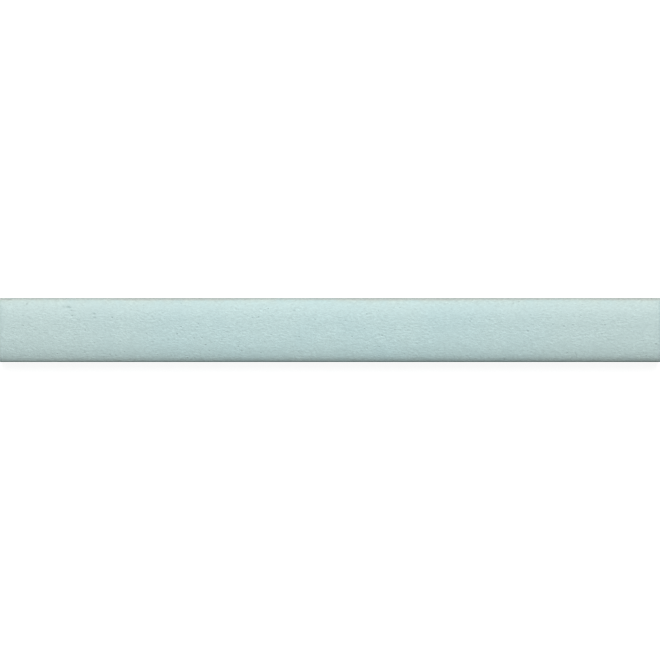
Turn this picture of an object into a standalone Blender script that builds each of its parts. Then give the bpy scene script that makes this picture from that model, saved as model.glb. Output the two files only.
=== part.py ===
"""Pencil liner tile: one pressed and glazed ceramic strip with a low arched face and a keyed back.

Units are metres, +Z up. The tile lies on its back, its length along X and its width along Y.
The origin is the centre of the back, the face that is bedded on the wall.
"""

import math

import bmesh
import bpy

# Overall size
LENGTH = 0.19685
WIDTH = 0.01905
HEIGHT = 0.0127

# The face is half a superellipse across the width, standing on the straight sides. A fullness of 2 would be
# an ellipse, and a higher one is flatter in the middle and rounder at the shoulders
CROWN_RISE = 0.0030
CROWN_FULLNESS = 2.8
CROWN_STEPS = 64

# Small rounds: the arris goes round both ends, the back edge runs along both sides. The arris is the smaller,
# so that the section it draws in stays whole at its corners
ARRIS_RADIUS = 0.0012
ARRIS_STEPS = 6
BACK_EDGE_RADIUS = 0.0014
BACK_EDGE_STEPS = 6

# Keying grooves pressed into the back, which the adhesive grips
KEY_COUNT = 2
KEY_WIDTH = 0.0034
KEY_DEPTH = 0.0008
KEY_SPACING = 0.0080
KEY_END_MARGIN = 0.0080
KEY_WALL_DRAFT = math.radians(25)
KEY_ROUND_STEPS = 8
CUTTER_OVERRUN = 0.0010

# Satin aqua glaze
GLAZE_COLOUR = (0.50, 0.65, 0.655, 1.0)
GLAZE_ROUGHNESS = 0.42

SMOOTH_ANGLE = math.radians(30)

TILE_NAME = "pencil_liner_tile"


def clear_scene():
    for obj in list(bpy.data.objects):
        bpy.data.objects.remove(obj, do_unlink=True)


def crown_point(turn):
    """The crown's point, and its normal, at a turn from 0 at the top to a quarter turn at the +Y side."""
    half = WIDTH / 2
    across = abs(math.sin(turn)) ** (2 / CROWN_FULLNESS)
    up = math.cos(turn) ** (2 / CROWN_FULLNESS)
    y = math.copysign(half * across, turn)
    z = HEIGHT - CROWN_RISE + CROWN_RISE * up
    lean_y = math.copysign(across ** (CROWN_FULLNESS - 1) / half, turn)
    lean_z = up ** (CROWN_FULLNESS - 1) / CROWN_RISE
    steep = math.hypot(lean_y, lean_z)
    return y, z, lean_y / steep, lean_z / steep


def back_edge_point(side, angle):
    """A point, and its normal, on the round between the back and the side at +Y (side 1) or -Y (side -1)."""
    out, down = math.sin(angle), -math.cos(angle)
    y = side * (WIDTH / 2 - BACK_EDGE_RADIUS + BACK_EDGE_RADIUS * out)
    z = BACK_EDGE_RADIUS + BACK_EDGE_RADIUS * down
    return y, z, side * out, down


def section():
    """The cross-section, anticlockwise seen from +X, as points with their outward normals."""
    quarter = math.pi / 2
    edge_turns = [quarter * step / BACK_EDGE_STEPS for step in range(BACK_EDGE_STEPS + 1)]
    crown_turns = [quarter - math.pi * step / CROWN_STEPS for step in range(CROWN_STEPS + 1)]
    right_edge = [back_edge_point(1, turn) for turn in edge_turns]
    crown = [crown_point(turn) for turn in crown_turns]
    left_edge = [back_edge_point(-1, turn) for turn in reversed(edge_turns)]
    return right_edge + crown + left_edge


def stations():
    """Where the section stands along the length, as (x, how far it is drawn in by the arris)."""
    quarter = math.pi / 2
    right = []
    for step in range(ARRIS_STEPS + 1):
        turn = quarter * step / ARRIS_STEPS
        x = LENGTH / 2 - ARRIS_RADIUS + ARRIS_RADIUS * math.sin(turn)
        right.append((x, ARRIS_RADIUS * (1 - math.cos(turn))))
    left = [(-x, drawn_in) for x, drawn_in in reversed(right)]
    return left + right


def make_mesh(name, rings):
    """A closed mesh skinned over rings of like points, with a flat cap on the first and the last."""
    mesh = bpy.data.meshes.new(name)
    bm = bmesh.new()
    loops = [[bm.verts.new(point) for point in ring] for ring in rings]
    for near, far in zip(loops, loops[1:]):
        for i in range(len(near)):
            bm.faces.new((near[i - 1], near[i], far[i], far[i - 1]))
    bm.faces.new(loops[0])
    bm.faces.new(reversed(loops[-1]))
    bmesh.ops.recalc_face_normals(bm, faces=bm.faces)
    bm.to_mesh(mesh)
    bm.free()
    return mesh


def make_blank():
    """The tile before its back is keyed: the section carried along X, drawn in at both arrises."""
    outline = section()
    rings = []
    for x, drawn_in in stations():
        rings.append([(x, y - drawn_in * ny, z - drawn_in * nz) for y, z, ny, nz in outline])
    mesh = make_mesh(TILE_NAME, rings)
    mesh.shade_smooth()
    mesh.set_sharp_from_angle(angle=SMOOTH_ANGLE)
    tile = bpy.data.objects.new(TILE_NAME, mesh)
    bpy.context.collection.objects.link(tile)
    return tile


def stadium(half_width, z):
    """A ring at height z round a slot of this half width, its ends half circles about fixed centres."""
    centre_x = LENGTH / 2 - KEY_END_MARGIN - KEY_WIDTH / 2
    ring = []
    for end in (1, -1):
        for step in range(KEY_ROUND_STEPS + 1):
            angle = math.pi * (step / KEY_ROUND_STEPS - 0.5)
            x = end * (centre_x + half_width * math.cos(angle))
            ring.append((x, end * half_width * math.sin(angle), z))
    return ring


def make_key_cutter(number):
    """The shape of one groove: a slot with drafted walls that narrows from the back to the groove's floor."""
    slope = math.tan(KEY_WALL_DRAFT)
    outer = stadium(KEY_WIDTH / 2 + CUTTER_OVERRUN * slope, -CUTTER_OVERRUN)
    floor = stadium(KEY_WIDTH / 2 - KEY_DEPTH * slope, KEY_DEPTH)
    name = f"key_cutter_{number + 1}"
    cutter = bpy.data.objects.new(name, make_mesh(name, [outer, floor]))
    cutter.location.y = (number - (KEY_COUNT - 1) / 2) * KEY_SPACING
    cutter.hide_render = True
    cutter.display_type = "WIRE"
    bpy.context.collection.objects.link(cutter)
    return cutter


def key_back(tile):
    for number in range(KEY_COUNT):
        groove = tile.modifiers.new(f"key_groove_{number + 1}", "BOOLEAN")
        groove.operation = "DIFFERENCE"
        groove.solver = "EXACT"
        groove.object = make_key_cutter(number)


def glaze_material():
    material = bpy.data.materials.new("aqua_satin_glaze")
    material.use_nodes = True
    shader = material.node_tree.nodes["Principled BSDF"]
    shader.inputs["Base Color"].default_value = GLAZE_COLOUR
    shader.inputs["Roughness"].default_value = GLAZE_ROUGHNESS
    shader.inputs["Metallic"].default_value = 0.0
    return material


def main():
    clear_scene()
    tile = make_blank()
    key_back(tile)
    tile.data.materials.append(glaze_material())


main()
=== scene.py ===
"""A pencil liner tile: one pressed strip of pale clay under a satin aqua glaze, lying on its back.

Units are metres. X runs along the tile, Y across it and Z out of its arched face.
"""

import math

import bpy
import numpy as np
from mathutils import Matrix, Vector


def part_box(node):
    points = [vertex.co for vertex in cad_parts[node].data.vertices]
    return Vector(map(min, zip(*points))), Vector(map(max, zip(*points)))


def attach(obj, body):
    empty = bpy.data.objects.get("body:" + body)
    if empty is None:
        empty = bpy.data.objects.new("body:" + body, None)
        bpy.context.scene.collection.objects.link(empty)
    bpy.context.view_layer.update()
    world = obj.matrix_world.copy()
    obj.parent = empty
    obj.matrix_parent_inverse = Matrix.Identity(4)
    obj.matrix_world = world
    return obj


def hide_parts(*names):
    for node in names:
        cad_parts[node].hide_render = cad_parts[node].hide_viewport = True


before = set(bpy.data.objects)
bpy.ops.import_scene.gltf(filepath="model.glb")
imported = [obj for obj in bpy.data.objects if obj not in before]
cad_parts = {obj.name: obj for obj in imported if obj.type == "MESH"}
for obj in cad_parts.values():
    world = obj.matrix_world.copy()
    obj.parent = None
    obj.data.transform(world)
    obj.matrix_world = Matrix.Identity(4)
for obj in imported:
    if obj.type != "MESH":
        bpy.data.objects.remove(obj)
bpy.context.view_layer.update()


# The tile
# A strip of pale clay, dust-pressed in a die with its face arched and its back grooved, and fired once.
# The aqua glaze is poured over the face, thins over the edges and stops on the sides in a wavy bead.
# It is laid with others end to end in a wall, its grooved back bedded in adhesive.

blank_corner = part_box("pencil_liner_tile")[1]
half_length = blank_corner.x
half_width = blank_corner.y
height = blank_corner.z
crown_rise = 0.0030
crown_fullness = 2.8
arris_radius = 0.0012
back_edge_radius = 0.0014

# How far the fired face sinks towards both ends, and how much more it does at the corners
shoulder_run = 0.0028
shoulder_drop = 0.00030
corner_extra = 1.5

# Where the glaze runs thin, along both long shoulders and over the end arrises. This band also places the
# painted shade along the far edge.
ridge_height = 0.0109
ridge_reach = 0.0009
near_ridge_share = 0.25
ridge_waver = 0.12
ridge_waves = np.geomspace(0.006, 0.050, 9)
arris_thinning = 0.5

# Where it stays dry, a little lower on the same shoulders
dry_height = 0.0103
dry_reach = 0.0009

# The glaze's foot, low on the sides, and the bead just above it
foot_height = 0.00190
foot_waver = 0.00015
foot_waves = np.geomspace(0.007, 0.060, 9)
glaze_thickness = 0.00016
glaze_lip = 0.00014
bead_height = 0.00028
bead_spread = 0.00024
bead_bulge = 0.00003

# Unevenness of the glaze, of which the upright sides have a share, and of the pressed back
face_ripple = 0.000005
face_waves = np.geomspace(0.009, 0.045, 16)
fine_ripple = 0.000009
fine_waves = np.geomspace(0.0025, 0.008, 24)
side_share = 0.3
back_ripple = 0.000006
back_waves = np.geomspace(0.003, 0.030, 14)
ripple_bound = 2

# The keying grooves in the back
groove_offsets = (-0.0040, 0.0040)
groove_half_width = 0.0017
groove_depth = 0.0008
groove_wall_run = 0.00045
groove_end_margin = 0.0080

# Pits that burst in the glaze as it was fired: x, y, reach along X, reach along Y, depth. The last one
# is a grain that stands proud
pits = (
    (-0.0773, 0.00662, 0.00062, 0.00036, 0.00024),
    (-0.0788, 0.00677, 0.00026, 0.00026, 0.00009),
    (-0.0762, 0.00411, 0.00028, 0.00026, 0.00014),
    (-0.0764, 0.00234, 0.00026, 0.00032, 0.00012),
    (-0.0697, 0.00470, 0.00045, 0.00026, 0.00013),
    (-0.0694, 0.00352, 0.00034, 0.00026, 0.00011),
    (-0.0907, 0.00411, 0.00026, 0.00026, 0.00010),
    (-0.0525, -0.00358, 0.00028, 0.00026, 0.00013),
    (-0.0333, 0.00589, 0.00028, 0.00034, 0.00010),
    (-0.0229, 0.00352, 0.00026, 0.00026, 0.00012),
    (-0.0093, -0.00654, 0.00032, 0.00026, 0.00011),
    (0.0087, -0.00062, 0.00026, 0.00026, 0.00010),
    (0.0185, 0.00648, 0.00026, 0.00026, 0.00009),
    (0.0469, 0.00293, 0.00026, 0.00026, 0.00009),
    (0.0822, -0.00328, 0.00028, 0.00026, 0.00011),
    (-0.0051, -0.00290, 0.00026, 0.00026, -0.00006),
)
pit_full_depth = 0.00012
nick = (-0.0947, 0.0092, 0.0110)
nick_reach = (0.0008, 0.0005, 0.0010)
nick_depth = 0.00012

# The grid over the skin: its rows stand along the tile and its columns go round it, closer together where
# the shape is fine. The gaps and the reach over the crown are turns in radians
track_points = 8000
row_gap = 0.00066
fine_row_gap = 0.00021
fine_row_reach = 0.0009
arris_steps = 7
cap_steps = 26
cap_lead = 1.7
back_gap = 0.0007
groove_wall_gap = 0.00011
groove_wall_reach = 0.00034
back_edge_steps = 8
columns_past_foot_mm = (-0.13, -0.07, -0.03, 0.01, 0.05, 0.10, 0.17, 0.26, 0.38, 0.55, 0.80)
upper_side_steps = 12
crown_gap = 0.034
pit_gap = 0.017
pit_reach = 0.05


def ease(value):
    """0 below 0 and 1 above 1, and in between the curve 3t^2 - 2t^3 that leaves and arrives level."""
    share = np.clip(value, 0, 1)
    return share * share * (3 - 2 * share)


def ripples(points, wavelengths, seed):
    """A smooth unevenness about 0 with a spread of 1.

    It is the sum of plane waves in random directions, each as strong as the root of its length.
    """
    chance = np.random.default_rng(seed)
    total = np.zeros(points.shape[:-1])
    for length in wavelengths:
        heading = chance.normal(size=3)
        heading *= 2 * math.pi / (length * np.linalg.norm(heading))
        total += math.sqrt(length) * np.cos(points @ heading + chance.uniform(0, 2 * math.pi))
    return total / math.sqrt(wavelengths.sum() / 2)


def dips(points, wavelengths, seed):
    """The same unevenness, raised by its bound and cut off at 0, so that it only ever goes in."""
    return np.maximum(ripple_bound + ripples(points, wavelengths, seed), 0)


def spread(low, high, gap, fine_gap, fine_places, reach):
    """Places from low to high, gap apart, and fine_gap apart within reach of each fine place.

    They are equal steps of the running total of 1 / gap, which rises in a bell round each fine place.
    """
    track = np.linspace(low, high, track_points)
    nearest = np.abs(track[:, None] - np.asarray(fine_places)[None, :]).min(1)
    density = 1 / gap + (1 / fine_gap - 1 / gap) * np.exp(-((nearest / reach) ** 4))
    total = np.concatenate([[0], np.cumsum((density[1:] + density[:-1]) / 2 * np.diff(track))])
    steps = int(round(total[-1]))
    return np.interp(np.linspace(0, total[-1], steps + 1), total, track)


def foot_line(x, y):
    """Height above the back where the glaze stops: a level line with long ripples, bounded by a tanh."""
    around = np.stack([x, y, np.zeros_like(x)], axis=-1)
    waver = np.tanh(ripples(around, foot_waves, seed=5) / ripple_bound)
    return foot_height + ripple_bound * foot_waver * waver


def back_columns():
    """Places across the back, close together where the grooves' walls stand."""
    edge = half_width - back_edge_radius
    to_wall = groove_half_width - groove_wall_run / 2
    walls = [offset + side * to_wall for offset in groove_offsets for side in (-1, 1)]
    return spread(-edge, edge, back_gap, groove_wall_gap, walls, groove_wall_reach)


def side_columns(side, x):
    """One long side, from the back up to the crown, as (y, z, normal y, normal z) for each x and column.

    A quarter circle joins the back. The next columns keep their distances from the glaze's wavy foot, and
    the last ones share out what is left up to the crown.
    """
    turns = np.linspace(0, math.pi / 2, back_edge_steps + 1)
    round_z = np.broadcast_to(back_edge_radius * (1 - np.cos(turns)), (len(x), len(turns)))
    foot = foot_line(x, np.full_like(x, side * half_width))[:, None]
    near_foot = foot + np.array(columns_past_foot_mm) / 1000
    top = near_foot[:, -1:]
    climb = np.linspace(0, 1, upper_side_steps + 1)[1:-1]
    above = top + (height - crown_rise - top) * climb
    z = np.concatenate([round_z, near_foot, above], axis=1)
    y = np.full(z.shape, half_width)
    y[:, : len(turns)] = half_width - back_edge_radius * (1 - np.sin(turns))
    normal_y = np.ones(z.shape)
    normal_y[:, : len(turns)] = np.sin(turns)
    normal_z = np.zeros(z.shape)
    normal_z[:, : len(turns)] = -np.cos(turns)
    return side * y, z, side * normal_y, normal_z


def crown_turn(y):
    """The turn t at which the crown reaches y: the root of y = a sin^(2/n) t."""
    return math.copysign(math.asin((abs(y) / half_width) ** (crown_fullness / 2)), y)


def crown_columns(rows):
    """The arched face from its +Y to its -Y foot, as (y, z, normal y, normal z) for each column.

    It is half a superellipse, y = a sin^(2/n) t and z = b cos^(2/n) t, and flatter in the middle than an
    ellipse.
    """
    pit_turns = [crown_turn(pit[1]) for pit in pits]
    turn = spread(-math.pi / 2, math.pi / 2, crown_gap, pit_gap, pit_turns, pit_reach)[::-1]
    across = np.abs(np.sin(turn)) ** (2 / crown_fullness)
    up = np.abs(np.cos(turn)) ** (2 / crown_fullness)
    y = half_width * np.sign(turn) * across
    z = height - crown_rise + crown_rise * up
    lean_y = np.sign(turn) * across ** (crown_fullness - 1) / half_width
    lean_z = up ** (crown_fullness - 1) / crown_rise
    steep = np.hypot(lean_y, lean_z)
    return [np.broadcast_to(part, (rows, len(turn))) for part in (y, z, lean_y / steep, lean_z / steep)]


def rings(x):
    """The cross-section at each x, anticlockwise seen from +X, as (y, z, normal y, normal z) arrays."""
    rising = side_columns(1, x)
    falling = [part[:, ::-1] for part in side_columns(-1, x)]
    crown = crown_columns(len(x))
    back_y = back_columns()[1:-1]
    level = np.zeros_like(back_y)
    down = np.full_like(back_y, -1)
    back = [np.broadcast_to(part, (len(x), len(back_y))) for part in (back_y, level, level, down)]
    return [np.concatenate(parts, axis=1) for parts in zip(rising, crown, falling, back)]


def end_cap(side, rim):
    """A flat end inside its rim, as (points, normals): rings that shrink to its centre, slow at first."""
    centre = np.array([side * half_length, 0, height / 2])
    shrink = 1 - np.linspace(0, 1, cap_steps + 1)[1:-1] ** cap_lead
    points = centre + shrink[:, None, None] * (rim - centre)
    return points, np.broadcast_to([side, 0.0, 0.0], points.shape)


def blank_grid():
    """The clean blank as a grid of (points, outward normals), its rows along X and its columns round it.

    A row is the cross-section. Over an end arris it moves out by R sin t and is drawn in by R (1 - cos t),
    and the flat ends close it.
    """
    groove_end = half_length - groove_end_margin - groove_half_width / 2
    fine_rows = [pit[0] for pit in pits] + [nick[0]]
    fine_rows += [-half_length, -groove_end, groove_end, half_length]
    last = half_length - arris_radius
    body_x = spread(-last, last, row_gap, fine_row_gap, fine_rows, fine_row_reach)
    turns = np.linspace(0, math.pi / 2, arris_steps + 1)[1:]
    turn = np.concatenate([-turns[::-1], np.zeros(len(body_x)), turns])[:, None]
    ring_x = np.concatenate([np.full(len(turns), -last), body_x, np.full(len(turns), last)])
    y, z, normal_y, normal_z = rings(ring_x)

    x = np.broadcast_to(ring_x[:, None] + arris_radius * np.sin(turn), y.shape)
    normal_x = np.broadcast_to(np.sin(turn), y.shape)
    drawn_in = arris_radius * (1 - np.cos(turn))
    points = np.stack([x, y - drawn_in * normal_y, z - drawn_in * normal_z], axis=-1)
    normals = np.stack([normal_x, normal_y * np.cos(turn), normal_z * np.cos(turn)], axis=-1)
    low_cap, low_normals = end_cap(-1, points[0])
    high_cap, high_normals = end_cap(1, points[-1])
    points = np.concatenate([low_cap[::-1], points, high_cap])
    return points, np.concatenate([low_normals, normals, high_normals])


def groove_depths(x, y):
    """Depth of the keying grooves: full inside a slot with round ends, eased to nothing over its wall."""
    straight = half_length - groove_end_margin - groove_half_width
    depth = np.zeros_like(x)
    for offset in groove_offsets:
        past_end = np.maximum(np.abs(x) - straight, 0)
        inside = groove_half_width - np.hypot(past_end, y - offset)
        depth += groove_depth * ease(inside / groove_wall_run)
    return depth


def pit_depths(points):
    """Depth of the pits and of the nick in the edge: a bell round each, as wide as its reaches say."""
    x, y, z = points[..., 0], points[..., 1], points[..., 2]
    depth = np.zeros_like(x)
    for pit_x, pit_y, reach_x, reach_y, deep in pits:
        away = ((x - pit_x) / reach_x) ** 2 + ((y - pit_y) / reach_y) ** 2
        depth += deep * np.exp(-away) * (z > height / 2)
    away = sum(((points[..., i] - nick[i]) / nick_reach[i]) ** 2 for i in range(3))
    return depth + nick_depth * np.exp(-away)


def fired_skin(points, normals, above_foot, pit_depth):
    """The fired tile's points: the blank's, each moved in along its normal by what is missing there.

    The glaze bulges in a bell just above its foot, and has its dips and pits. The bare clay of the sides
    lies a glaze's thickness deeper, and the back has its grooves. Then the face sinks straight down towards
    both ends, as the square of the way along the shoulder's run.
    """
    x, y = points[..., 0], points[..., 1]
    faces_up = ease(normals[..., 2] * 2)
    faces_down = ease(-normals[..., 2] * 2 - 1)
    cover = ease(above_foot / glaze_lip + 0.5)
    bead = bead_bulge * np.exp(-(((above_foot - bead_height) / bead_spread) ** 2))
    uneven = face_ripple * dips(points, face_waves, seed=11)
    uneven += fine_ripple * dips(points, fine_waves, seed=12)
    uneven *= side_share + (1 - side_share) * faces_up
    rough = back_ripple * dips(points, back_waves, seed=13)
    glazed = bead_bulge - bead + uneven + pit_depth
    bare_side = bead_bulge + glaze_thickness + rough
    bare_back = rough + groove_depths(x, y)
    bare = bare_side * (1 - faces_down) + bare_back * faces_down
    to_end = half_length - np.abs(x)
    sunk = shoulder_drop * np.clip(1 - to_end / shoulder_run, 0, 1) ** 2 * faces_up
    sunk *= 1 + corner_extra * normals[..., 1] ** 2
    skin = points - (cover * glazed + (1 - cover) * bare)[..., None] * normals
    skin[..., 2] -= sunk
    return skin


def edge_thinness(points, normals):
    """How thin the glaze runs over the edges, from 0 to 1. Near 1, along the far shoulder, it also sets
    painted shade.

    It is a bell in height along both long shoulders, wavering a little, and sin 2t over an end arris.
    """
    x, y, z = points[..., 0], points[..., 1], points[..., 2]
    level = np.stack([x, y, np.zeros_like(x)], axis=-1)
    waver = np.clip(ripples(level, ridge_waves, seed=14), -ripple_bound, ripple_bound / 2)
    ridge = np.exp(-(((z - ridge_height) / ridge_reach) ** 2)) * np.where(y > 0, 1, near_ridge_share)
    ridge = ridge * (1 + ridge_waver * waver / ripple_bound)
    lean = normals[..., 0]
    arris = arris_thinning * np.abs(2 * lean * np.sqrt(np.clip(1 - lean ** 2, 0, 1)))
    return np.clip(np.maximum(ridge * np.hypot(normals[..., 1], normals[..., 2]), arris), 0, 1)


def edge_dryness(points, normals):
    """How dry the glaze stays, from 0 to 1: a bell in height along the long shoulders, less at the ends."""
    shoulder = np.exp(-(((points[..., 2] - dry_height) / dry_reach) ** 2))
    return shoulder * np.hypot(normals[..., 1], normals[..., 2])


def skin_mesh(name, points, **readings):
    """A closed mesh over a grid of points, round its columns and with a pole at each end.

    Each reading is a value for every grid point, kept as an attribute. A pole takes the mean of its row.
    """
    rows, columns = points.shape[:2]
    poles = np.array([points[0].mean(0), points[-1].mean(0)])
    index = np.arange(rows * columns).reshape(rows, columns)
    here, ahead = index, np.roll(index, -1, axis=1)
    quads = np.stack([here[:-1], ahead[:-1], ahead[1:], here[1:]], axis=-1).reshape(-1, 4)
    low_pole = np.full(columns, index.size)
    fan_low = np.stack([low_pole, ahead[0], here[0]], axis=-1)
    fan_high = np.stack([here[-1], ahead[-1], low_pole + 1], axis=-1)
    corners = np.concatenate([quads.ravel(), fan_low.ravel(), fan_high.ravel()])
    sizes = np.concatenate([np.full(len(quads), 4), np.full(2 * columns, 3)])
    mesh = bpy.data.meshes.new(name)
    mesh.vertices.add(index.size + 2)
    mesh.vertices.foreach_set("co", np.concatenate([points.reshape(-1, 3), poles]).ravel())
    mesh.loops.add(len(corners))
    mesh.loops.foreach_set("vertex_index", corners)
    mesh.polygons.add(len(sizes))
    mesh.polygons.foreach_set("loop_start", np.concatenate([[0], np.cumsum(sizes)[:-1]]))
    mesh.update(calc_edges=True)
    for reading, values in readings.items():
        kept = np.concatenate([values.ravel(), [values[0].mean(), values[-1].mean()]])
        mesh.attributes.new(reading, "FLOAT", "POINT").data.foreach_set("value", kept)
    mesh.shade_smooth()
    mesh.validate()
    return mesh


blank, blank_normals = blank_grid()
above_foot = blank[..., 2] - foot_line(blank[..., 0], blank[..., 1])
pit_depth = pit_depths(blank)
tile_mesh = skin_mesh(
    "fired_tile",
    fired_skin(blank, blank_normals, above_foot, pit_depth),
    above_foot_mm=above_foot * 1000,
    edge_thin=edge_thinness(blank, blank_normals),
    edge_dry=edge_dryness(blank, blank_normals),
    pitted=np.clip(pit_depth / pit_full_depth, 0, 1),
)
tile = bpy.data.objects.new("fired_tile", tile_mesh)
bpy.context.scene.collection.objects.link(tile)


# The tile's finish
# One fired skin: satin aqua glaze over the face and sides, and cream clay below its foot and on the back.
# The glaze is warmer towards both ends, and warmer where an edge draws it thin, with a little painted shade
# there. It is dry and matt over the shoulders. Painted shade also darkens it along the far edge, in the pits
# and over the near shoulder and side. Its stipple is drawn out along the tile, with pinholes and grit in it.

glaze_aqua = (0.477, 0.633, 0.630, 1)
glaze_deep = (0.451, 0.619, 0.628, 1)
glaze_end = (0.481, 0.606, 0.592, 1)
# The thin glaze's colour: a real warm tint, darkened a little as painted shade along the edges
thin_glaze_tint_and_shade = (0.515, 0.602, 0.555, 1)
# Painted shade along the far edge, where the glaze runs thinnest
painted_edge_shade = (0.430, 0.475, 0.450, 1)
clay_cream = (0.740, 0.695, 0.610, 1)
clay_warm = (0.700, 0.645, 0.550, 1)
clay_speck = (0.400, 0.320, 0.235, 1)

# How many features a metre each pattern has, and how the stipple's two layers are stretched and turned
cloud_scale = 55
patch_scale = 280
stipple_scale = 1500
pinhole_scale = 360
grit_scale = 430
speck_scale = 700
speckle_scale = 900
grain_scale = 2600
stipple_stretch = (0.75, 1.15, 1.15)
stipple_turn = (0.5, 0.6, 0.4)
cross_turn = (-0.7, 0.3, 1.2)

# Where each thing sets in and where it is full: metres along or across the tile, millimetres above the
# glaze's foot, for dots the distance from one in spacings, and otherwise the value of a pattern
end_span = (0.015, 0.095)
# Where the painted shade over the near shoulder and side sets in
near_painted_shade_span = (-0.0074, -0.0093)
pool_span_mm = (1.1, 0.1)
foot_span_mm = (-0.05, 0.05)
deep_cloud_span = (0.30, 0.75)
warm_cloud_span = (0.35, 0.70)
thin_patch_span = (0.15, 0.65)
stippled_patch_span = (0.35, 0.65)
# Where the painted shade along the far edge sets in
painted_edge_shade_span = (0.60, 1.00)
pinhole_span = (0.14, 0.04)
grit_span = (0.16, 0.05)
speck_span = (0.13, 0.06)
speckled_span = (0.50, 0.60)

# How much of each colour comes in where it is full
end_share = 0.75
pool_share = 0.7
# How much of the painted shade along the far edge comes in
painted_edge_shade_share = 0.8
speck_share = 0.6

# How much lighter or darker each thing makes the colour. The pits are darkened as painted shade. The near
# shoulder and side also carry painted shade, darker in the middle and towards +X and lighter towards -X.
stipple_shade = 0.24
patch_shade = 0.06
pinhole_shade = -0.11
grit_shade = 0.07
# Pits darkened as painted shade
pit_painted_shade = -0.09
grain_shade = 0.16
# The painted shade over the near shoulder and side: its change along X and its extra in the middle
painted_shade_per_metre = 1.0
painted_middle_shade = 0.045

# The stipple's least strength and what patches add to it, and how far patches fray the glaze's foot
least_stipple = 0.75
patchy_stipple = 0.5
foot_fray_mm = 0.16

satin_rough = 0.37
patch_rough = 0.10
dry_rough = 0.50
clay_rough = 0.86
glaze_specular = 0.38

stipple_height = 0.000064
patch_height = 0.000016
pinhole_depth = 0.000060
grain_height = 0.000030


def add_node(tree, kind, settings=None, **inputs):
    """A node of this kind with its settings, each input being a value or the output that feeds it."""
    made = tree.nodes.new(kind)
    for name, value in (settings or {}).items():
        setattr(made, name, value)
    for name, value in inputs.items():
        numbered = name[0] == "i" and name[1:].isdigit()
        socket = made.inputs[int(name[1:])] if numbered else made.inputs[name]
        if isinstance(value, bpy.types.NodeSocket):
            tree.links.new(value, socket)
        else:
            socket.default_value = value
    return made


def reckon(tree, operation, first, second=0.0, third=0.0):
    """What this operation makes of two or three values. MULTIPLY_ADD is first x second + third."""
    made = add_node(tree, "ShaderNodeMath", {"operation": operation}, i0=first, i1=second, i2=third)
    return made.outputs[0]


def between(tree, share, low, high):
    """The value low where share is 0 and high where it is 1."""
    return reckon(tree, "MULTIPLY_ADD", share, reckon(tree, "SUBTRACT", high, low), low)


def blend(tree, share, low, high):
    """The colour low where share is 0 and high where it is 1."""
    made = add_node(tree, "ShaderNodeMix", {"data_type": "RGBA"}, i0=share, i6=low, i7=high)
    return made.outputs[2]


def rise(tree, value, low, high):
    """0 below low, 1 above high and smooth between. With low above high it falls instead."""
    made = add_node(
        tree, "ShaderNodeMapRange", {"interpolation_type": "SMOOTHSTEP"},
        Value=value, **{"From Min": low, "From Max": high},
    )
    return made.outputs["Result"]


def reading(tree, name):
    """The value that the mesh keeps under this name."""
    return add_node(tree, "ShaderNodeAttribute", {"attribute_name": name}).outputs["Fac"]


def stretched(tree, place, turn):
    """The place scaled so that a pattern comes out longer along X, and then turned by these angles."""
    made = add_node(tree, "ShaderNodeMapping", Vector=place, Scale=stipple_stretch, Rotation=turn)
    return made.outputs["Vector"]


def noise(tree, place, scale, detail):
    """Cloudy noise from 0 to 1 at this many features a metre."""
    made = add_node(tree, "ShaderNodeTexNoise", Vector=place, Scale=scale, Detail=detail)
    return made.outputs["Factor"] if "Factor" in made.outputs else made.outputs["Fac"]


def dots(tree, place, scale, span):
    """1 at scattered points, about this many a metre, and 0 away from them."""
    away = add_node(tree, "ShaderNodeTexVoronoi", Vector=place, Scale=scale).outputs["Distance"]
    return rise(tree, away, *span)


def shaded(tree, shade, pattern, change, level=1.0):
    """The shade times level + change x pattern."""
    return reckon(tree, "MULTIPLY", shade, reckon(tree, "MULTIPLY_ADD", pattern, change, level))


def dimmed(tree, colour, shade):
    """The colour times the shade."""
    made = add_node(tree, "ShaderNodeVectorMath", {"operation": "SCALE"}, i0=colour, Scale=shade)
    return made.outputs[0]


def fired_patterns(tree, place):
    """The patterns and readings that the finish is made of, by name.

    Stipple lies about 0, and is the sum of two noises turned apart, so that neither's direction shows. The
    height above the foot is in millimetres, and the others go from 0 to 1.
    """
    drawn_out = stretched(tree, place, stipple_turn)
    crossing = stretched(tree, place, cross_turn)
    patches = noise(tree, place, patch_scale, 2)
    layer = noise(tree, drawn_out, stipple_scale, 2)
    stipple = reckon(tree, "ADD", layer, noise(tree, crossing, stipple_scale, 2))
    stippled = rise(tree, patches, *stippled_patch_span)
    strength = reckon(tree, "MULTIPLY_ADD", stippled, patchy_stipple, least_stipple)
    return {
        "above_foot": reading(tree, "above_foot_mm"),
        "thin": reading(tree, "edge_thin"),
        "dry": reading(tree, "edge_dry"),
        "pitted": reading(tree, "pitted"),
        "clouds": noise(tree, place, cloud_scale, 3),
        "patches": patches,
        "stipple": reckon(tree, "MULTIPLY", reckon(tree, "SUBTRACT", stipple, 1.0), strength),
        "pinhole": dots(tree, place, pinhole_scale, pinhole_span),
        "grit": dots(tree, drawn_out, grit_scale, grit_span),
        "speck": dots(tree, place, speck_scale, speck_span),
        "speckle": noise(tree, place, speckle_scale, 4),
        "grain": noise(tree, place, grain_scale, 3),
    }


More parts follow.
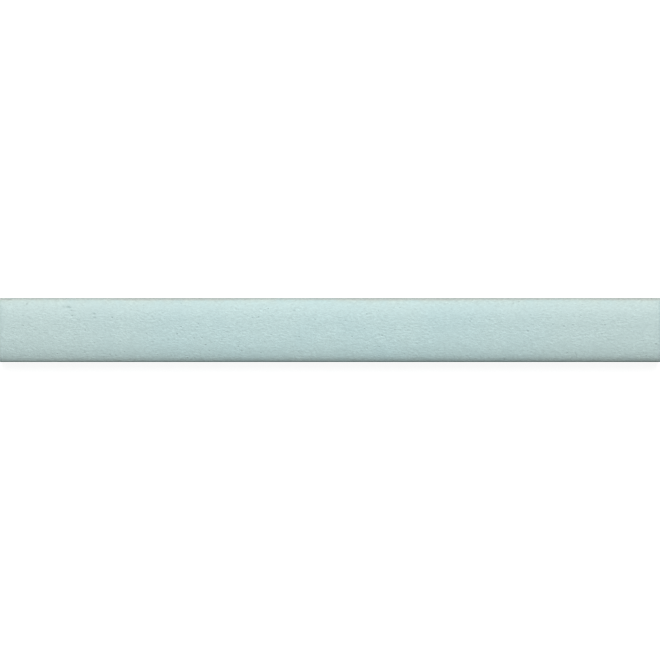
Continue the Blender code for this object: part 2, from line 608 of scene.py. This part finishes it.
def glaze_colour(tree, place, patterns):
    """Aqua in deep and pale clouds, warm at the ends, deep by the foot, and warmer with a little painted
    shade where an edge draws it thin. It has painted shade along the far edge, in the pits and over the near
    shoulder and side.
    """
    apart = add_node(tree, "ShaderNodeSeparateXYZ", Vector=place).outputs
    towards_end = rise(tree, reckon(tree, "ABSOLUTE", apart["X"]), *end_span)
    pooled = rise(tree, patterns["above_foot"], *pool_span_mm)
    patchy = rise(tree, patterns["patches"], *thin_patch_span)
    # Where the thin glaze's warm tint, with its little painted shade, comes in
    thin_tint_and_shade_share = reckon(tree, "MULTIPLY", patterns["thin"], patchy)
    # Painted shade along the far edge, where the glaze runs thinnest
    edge_shade_mask = rise(tree, patterns["thin"], *painted_edge_shade_span)
    colour = blend(tree, rise(tree, patterns["clouds"], *deep_cloud_span), glaze_aqua, glaze_deep)
    colour = blend(tree, reckon(tree, "MULTIPLY", towards_end, end_share), colour, glaze_end)
    colour = blend(tree, reckon(tree, "MULTIPLY", pooled, pool_share), colour, glaze_deep)
    # The warm tint of thin glaze, partly painted shade
    colour = blend(tree, thin_tint_and_shade_share, colour, thin_glaze_tint_and_shade)
    # The painted shade along the far edge goes into the colour here
    colour = blend(tree, reckon(tree, "MULTIPLY", edge_shade_mask, painted_edge_shade_share), colour, painted_edge_shade)

    shade = reckon(tree, "MULTIPLY_ADD", patterns["stipple"], stipple_shade, 1.0)
    shade = shaded(tree, shade, patterns["patches"], patch_shade, 1 - patch_shade / 2)
    shade = shaded(tree, shade, patterns["pinhole"], pinhole_shade)
    shade = shaded(tree, shade, patterns["grit"], grit_shade)
    # The pits darkened as painted shade
    shade = shaded(tree, shade, patterns["pitted"], pit_painted_shade)
    # Painted shade over the near shoulder and side, darker in the middle and towards +X, lighter towards -X
    darker = reckon(tree, "MULTIPLY_ADD", apart["X"], painted_shade_per_metre, painted_middle_shade)
    darker = reckon(tree, "MULTIPLY_ADD", towards_end, -painted_middle_shade, darker)
    darker = reckon(tree, "MULTIPLY", rise(tree, apart["Y"], *near_painted_shade_span), darker)
    shade = reckon(tree, "MULTIPLY", shade, reckon(tree, "SUBTRACT", 1.0, darker))
    return dimmed(tree, colour, shade)


def clay_colour(tree, patterns):
    """Cream in warm clouds, with a fine grain and dark specks in groups."""
    speckled = rise(tree, patterns["speckle"], *speckled_span)
    speck = reckon(tree, "MULTIPLY", patterns["speck"], speckled)
    colour = blend(tree, rise(tree, patterns["clouds"], *warm_cloud_span), clay_cream, clay_warm)
    colour = blend(tree, reckon(tree, "MULTIPLY", speck, speck_share), colour, clay_speck)
    shade = reckon(tree, "MULTIPLY_ADD", patterns["grain"], grain_shade, 1 - grain_shade / 2)
    return dimmed(tree, colour, shade)


def fired_relief(tree, cover, patterns):
    """Height of the finest relief: stipple, patches and pinholes in the glaze, and grain in the clay."""
    peel = reckon(tree, "MULTIPLY", patterns["patches"], patch_height)
    peel = reckon(tree, "MULTIPLY_ADD", patterns["stipple"], stipple_height, peel)
    peel = reckon(tree, "MULTIPLY_ADD", patterns["pinhole"], -pinhole_depth, peel)
    pores = reckon(tree, "MULTIPLY", patterns["speckle"], grain_height)
    pores = reckon(tree, "MULTIPLY_ADD", patterns["grain"], grain_height, pores)
    return between(tree, cover, pores, peel)


def fired_finish():
    """Glaze above its foot and clay below it. The patches fray the line between them a little."""
    material = bpy.data.materials.new("aqua_satin_glaze")
    material.use_nodes = True
    tree = material.node_tree
    shader = tree.nodes["Principled BSDF"]
    place = add_node(tree, "ShaderNodeTexCoord").outputs["Object"]
    patterns = fired_patterns(tree, place)
    frayed = reckon(tree, "MULTIPLY_ADD", patterns["patches"], foot_fray_mm, -foot_fray_mm / 2)
    cover = rise(tree, reckon(tree, "ADD", patterns["above_foot"], frayed), *foot_span_mm)
    colour = blend(tree, cover, clay_colour(tree, patterns), glaze_colour(tree, place, patterns))
    tree.links.new(colour, shader.inputs["Base Color"])

    glaze_rough = reckon(tree, "MULTIPLY_ADD", patterns["patches"], patch_rough, satin_rough)
    glaze_rough = reckon(tree, "MULTIPLY_ADD", patterns["dry"], dry_rough, glaze_rough)
    tree.links.new(between(tree, cover, clay_rough, glaze_rough), shader.inputs["Roughness"])
    shader.inputs["Specular IOR Level"].default_value = glaze_specular

    relief = fired_relief(tree, cover, patterns)
    bump = add_node(tree, "ShaderNodeBump", Strength=1.0, Distance=1.0, Height=relief)
    tree.links.new(bump.outputs["Normal"], shader.inputs["Normal"])
    return material


tile.data.materials.append(fired_finish())
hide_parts("pencil_liner_tile")
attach(tile, "root")


# The floor
# A wide sheet of matt white paper that the tile lies on. It isn't part of the object.
# To the camera and in reflections it glows a little, so that it shows white and keeps a soft shadow.

floor_half = 2.0
floor_drop = 0.00005
paper_grey = (0.36, 0.36, 0.36, 1)
paper_glow = 0.86
far_paper_glow = 0.97
far_paper_span = (0.15, 0.60)


def sight_rays(tree):
    """1 for rays that come from the camera or by a reflection or through glass, and 0 for the others."""
    path = add_node(tree, "ShaderNodeLightPath")
    seen = reckon(tree, "MAXIMUM", path.outputs["Is Camera Ray"], path.outputs["Is Glossy Ray"])
    return reckon(tree, "MAXIMUM", seen, path.outputs["Is Transmission Ray"])


def paper():
    """Matt grey paper that glows to sight rays, a little less near the tile."""
    material = bpy.data.materials.new("white_paper")
    material.use_nodes = True
    tree = material.node_tree
    tree.nodes.remove(tree.nodes["Principled BSDF"])
    seen = sight_rays(tree)
    matt = add_node(tree, "ShaderNodeBsdfDiffuse", Color=paper_grey)
    place = add_node(tree, "ShaderNodeTexCoord").outputs["Object"]
    away = add_node(tree, "ShaderNodeVectorMath", {"operation": "LENGTH"}, i0=place).outputs["Value"]
    far = rise(tree, away, *far_paper_span)
    strength = reckon(tree, "MULTIPLY_ADD", far, far_paper_glow - paper_glow, paper_glow)
    glow = add_node(tree, "ShaderNodeEmission", Strength=reckon(tree, "MULTIPLY", seen, strength))
    both = add_node(tree, "ShaderNodeAddShader", i0=matt.outputs[0], i1=glow.outputs[0])
    tree.links.new(both.outputs[0], tree.nodes["Material Output"].inputs["Surface"])
    return material


floor_mesh = bpy.data.meshes.new("paper_floor")
floor_mesh.from_pydata(
    [(sx * floor_half, sy * floor_half, -floor_drop) for sx, sy in ((-1, -1), (1, -1), (1, 1), (-1, 1))],
    [], [(0, 1, 2, 3)],
)
floor_mesh.materials.append(paper())
floor = bpy.data.objects.new("paper_floor", floor_mesh)
bpy.context.scene.collection.objects.link(floor)


# The lamps
# A broad soft lamp overhead, another half way down on the far side, and a dim pale room all round.
# Both lamps are tipped towards +Y, so the tile's near side lies in soft shade.

lamp_distance = 1.20
lamp_width = 0.90
lamp_depth = 0.50
overhead_tip = math.radians(19)
overhead_power = 7.50
far_side_tip = math.radians(49)
far_side_power = 6.90
room_light = 0.24


def softbox(name, from_vertical, power):
    """A soft lamp aimed at the tile, tipped by from_vertical towards +Y."""
    light = bpy.data.lights.new(name, "AREA")
    light.shape = "RECTANGLE"
    light.size = lamp_width
    light.size_y = lamp_depth
    light.energy = power
    lamp = bpy.data.objects.new(name, light)
    lamp.location.y = lamp_distance * math.sin(from_vertical)
    lamp.location.z = lamp_distance * math.cos(from_vertical)
    lamp.rotation_euler.x = -from_vertical
    lamp.visible_camera = False
    bpy.context.scene.collection.objects.link(lamp)


def pale_room():
    """A white world to sight rays, which lights the tile at the room's dim level."""
    world = bpy.data.worlds.new("pale_room")
    world.use_nodes = True
    tree = world.node_tree
    strength = reckon(tree, "MULTIPLY_ADD", sight_rays(tree), 1 - room_light, room_light)
    tree.nodes["Background"].inputs["Color"].default_value = (1, 1, 1, 1)
    tree.links.new(strength, tree.nodes["Background"].inputs["Strength"])
    return world


softbox("overhead_lamp", overhead_tip, overhead_power)
softbox("far_side_lamp", far_side_tip, far_side_power)
bpy.context.scene.world = pale_room()
bpy.context.scene.view_settings.view_transform = "Standard"


# The camera
# It looks straight down from far off through a long lens, so that the tile's ends just fill the picture's
# width. The picture's scale is set by the tile's width where it is widest, at the foot of the crown.

lens = 300
sensor = 36
picture_pixels = 660
tile_width_pixels = 64.4
widest_height = height - crown_rise
view_width = 2 * half_width * picture_pixels / tile_width_pixels

camera_data = bpy.data.cameras.new("camera")
camera_data.lens = lens
camera_data.sensor_width = sensor
camera = bpy.data.objects.new("camera", camera_data)
camera.location = (0, 0, widest_height + view_width * lens / sensor)
bpy.context.scene.collection.objects.link(camera)
bpy.context.scene.camera = camera
bpy.context.scene.cycles.pixel_filter_type = "BLACKMAN_HARRIS"
bpy.context.scene.cycles.filter_width = 1.0
